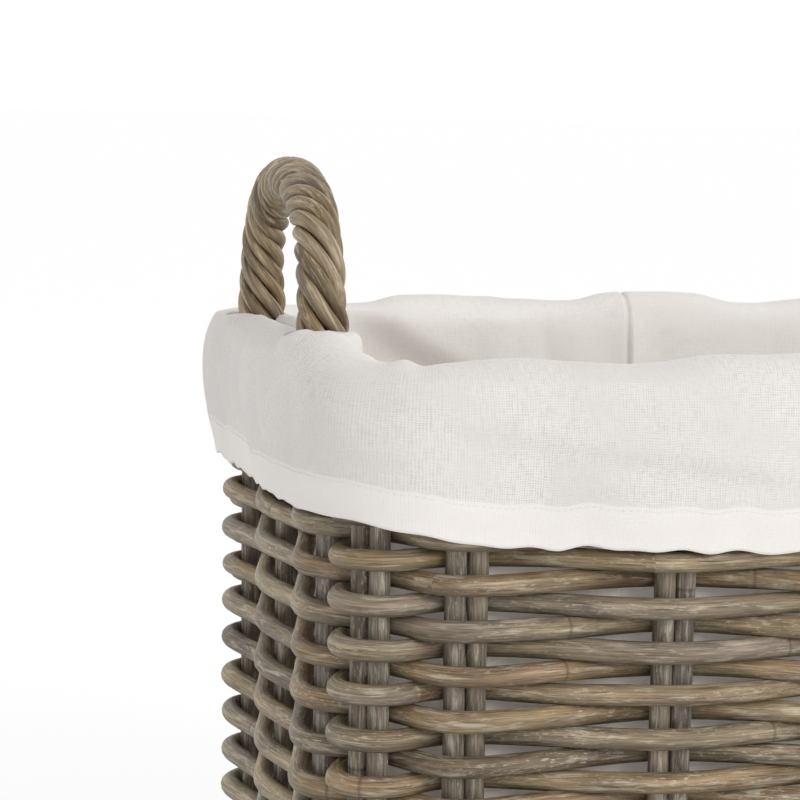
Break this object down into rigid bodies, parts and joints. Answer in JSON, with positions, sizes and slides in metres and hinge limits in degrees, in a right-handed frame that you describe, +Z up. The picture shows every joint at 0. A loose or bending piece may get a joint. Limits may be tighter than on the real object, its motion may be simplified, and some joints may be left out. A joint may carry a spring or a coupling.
{
  "type": "woven laundry basket",
  "caption": "Rectangular woven cane laundry basket with rounded corners, rope-twist end handles and a lift-out linen liner folded over the rim.",
  "frame": {"origin": "on the floor under the middle of the basket", "axes": "+Z up, X along the long side, the front wall faces -Y"},
  "size_m": [0.59, 0.42, 0.59],
  "materials": {
    "weaver_cane": "matt grey-brown cane skin",
    "stake_cane": "matt grey-brown cane skin",
    "frame_cane": "matt grey-brown cane",
    "split_cane": "matt split cane",
    "handle_cane": "matt brown cane skin",
    "linen": "matt plain-weave linen"
  },
  "bodies": {
    "basket": {"base_hoop": "frame_cane", "base_bars": "frame_cane", "base_sticks": "stake_cane", "base_weave": "split_cane", "foot_wale": "weaver_cane", "front_stakes": "stake_cane", "back_stakes": "stake_cane", "left_end_stakes": "stake_cane", "right_end_stakes": "stake_cane", "corner_stakes": "stake_cane", "weaver_row_01": "weaver_cane", "weaver_row_02": "weaver_cane", "weaver_row_03": "weaver_cane", "weaver_row_04": "weaver_cane", "weaver_row_05": "weaver_cane", "weaver_row_06": "weaver_cane", "weaver_row_07": "weaver_cane", "weaver_row_08": "weaver_cane", "weaver_row_09": "weaver_cane", "weaver_row_10": "weaver_cane", "weaver_row_11": "weaver_cane", "weaver_row_12": "weaver_cane", "weaver_row_13": "weaver_cane", "weaver_row_14": "weaver_cane", "weaver_row_15": "weaver_cane", "weaver_row_16": "weaver_cane", "weaver_row_17": "weaver_cane", "weaver_row_18": "weaver_cane", "weaver_row_19": "weaver_cane", "weaver_row_20": "weaver_cane", "weaver_row_21": "weaver_cane", "weaver_row_22": "weaver_cane", "weaver_row_23": "weaver_cane", "weaver_row_24": "weaver_cane", "weaver_row_25": "weaver_cane", "weaver_row_26": "weaver_cane", "weaver_row_27": "weaver_cane", "weaver_row_28": "weaver_cane", "weaver_row_29": "weaver_cane", "weaver_row_30": "weaver_cane", "weaver_row_31": "weaver_cane", "weaver_row_32": "weaver_cane", "weaver_row_33": "weaver_cane", "weaver_row_34": "weaver_cane", "weaver_row_35": "weaver_cane", "weaver_row_36": "weaver_cane", "weaver_row_37": "weaver_cane", "weaver_row_38": "weaver_cane", "rim_outer_hoop": "frame_cane", "rim_inner_hoop": "frame_cane", "rim_border": "frame_cane", "handle_lashings": "split_cane", "left_handle_core": "handle_cane", "left_handle_rope": "handle_cane", "right_handle_core": "handle_cane", "right_handle_rope": "handle_cane"},
    "liner": {"liner_side": "linen", "liner_base": "linen"}
  },
  "joints": [
    {"name": "liner_lift", "type": "slide", "parent": "basket", "child": "liner", "axis": [0, 0, 1], "range_m": [0, 0.58]}
  ]
}
